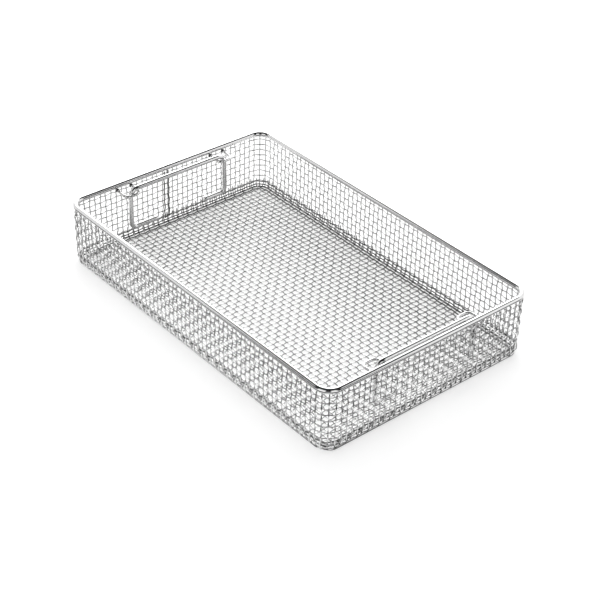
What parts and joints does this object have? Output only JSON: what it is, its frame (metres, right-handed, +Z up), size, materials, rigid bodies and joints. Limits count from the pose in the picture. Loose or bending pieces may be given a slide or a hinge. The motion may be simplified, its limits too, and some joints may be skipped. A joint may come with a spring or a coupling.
{
  "type": "sterilising basket",
  "caption": "Shallow rectangular basket of woven stainless wire with rounded corners, rod-framed rim and base, and a sliding lift-out handle at each end.",
  "frame": {"origin": "middle of the footprint, on the surface that the basket stands on", "axes": "+X along the basket, +Y across it, +Z up out of its open top"},
  "size_m": [0.405, 0.255, 0.07],
  "materials": {
    "rod_steel": "electropolished stainless rod",
    "mesh_steel": "electropolished woven stainless wire"
  },
  "bodies": {
    "basket": {"rim_rod": "rod_steel", "base_rod": "rod_steel", "wall_mesh": "mesh_steel", "floor_mesh": "mesh_steel", "left_front_eye": "rod_steel", "left_rear_eye": "rod_steel", "right_front_eye": "rod_steel", "right_rear_eye": "rod_steel"},
    "left_grip": {"left_handle": "rod_steel"},
    "right_grip": {"right_handle": "rod_steel"}
  },
  "joints": [
    {"name": "left_lift", "type": "slide", "parent": "basket", "child": "left_grip", "axis": [0, 0, 1], "range_m": [0, 0.0367]},
    {"name": "right_lift", "type": "slide", "parent": "basket", "child": "right_grip", "axis": [0, 0, 1], "range_m": [0, 0.0367]}
  ]
}
